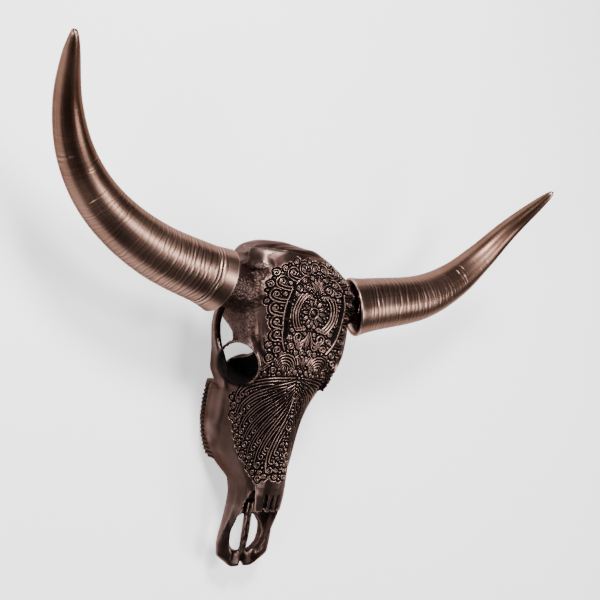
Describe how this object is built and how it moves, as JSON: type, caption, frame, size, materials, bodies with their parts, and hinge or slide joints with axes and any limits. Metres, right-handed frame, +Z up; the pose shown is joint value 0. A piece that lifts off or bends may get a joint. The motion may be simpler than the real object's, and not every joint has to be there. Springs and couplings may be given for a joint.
{
  "type": "carved longhorn steer skull",
  "caption": "Life-size longhorn steer skull with wide upswept horns, copper-coated, its forehead and nose carved with scrollwork; it lies on its cheek teeth and neck processes.",
  "frame": {"origin": "middle of the bounding box, at floor level", "axes": "+X to the skull's left along the line between the horn tips, +Y from the nose to the poll, +Z up"},
  "size_m": [0.8722, 0.6682, 0.2601],
  "materials": {
    "coated_bone": "satin dark copper coat over smooth and stippled bone",
    "carved_bone": "dark copper coat over carved relief, bright on its ridges and near black in its recesses",
    "horn": "glossy copper-brown coat over ringed horn"
  },
  "bodies": {
    "root": {"horn_core_right": "coated_bone", "jugular_process_right": "coated_bone", "zygomatic_arch_right": "coated_bone", "orbit_right": "coated_bone", "nasal_right": "carved_bone", "premaxilla_right": "coated_bone", "maxilla_right": "coated_bone", "horn_core_left": "coated_bone", "jugular_process_left": "coated_bone", "zygomatic_arch_left": "coated_bone", "orbit_left": "coated_bone", "nasal_left": "carved_bone", "premaxilla_left": "coated_bone", "maxilla_left": "coated_bone", "frontal": "carved_bone", "occiput": "coated_bone", "braincase": "coated_bone", "horn_sheath_right": "horn", "horn_sheath_left": "horn"}
  },
  "joints": []
}
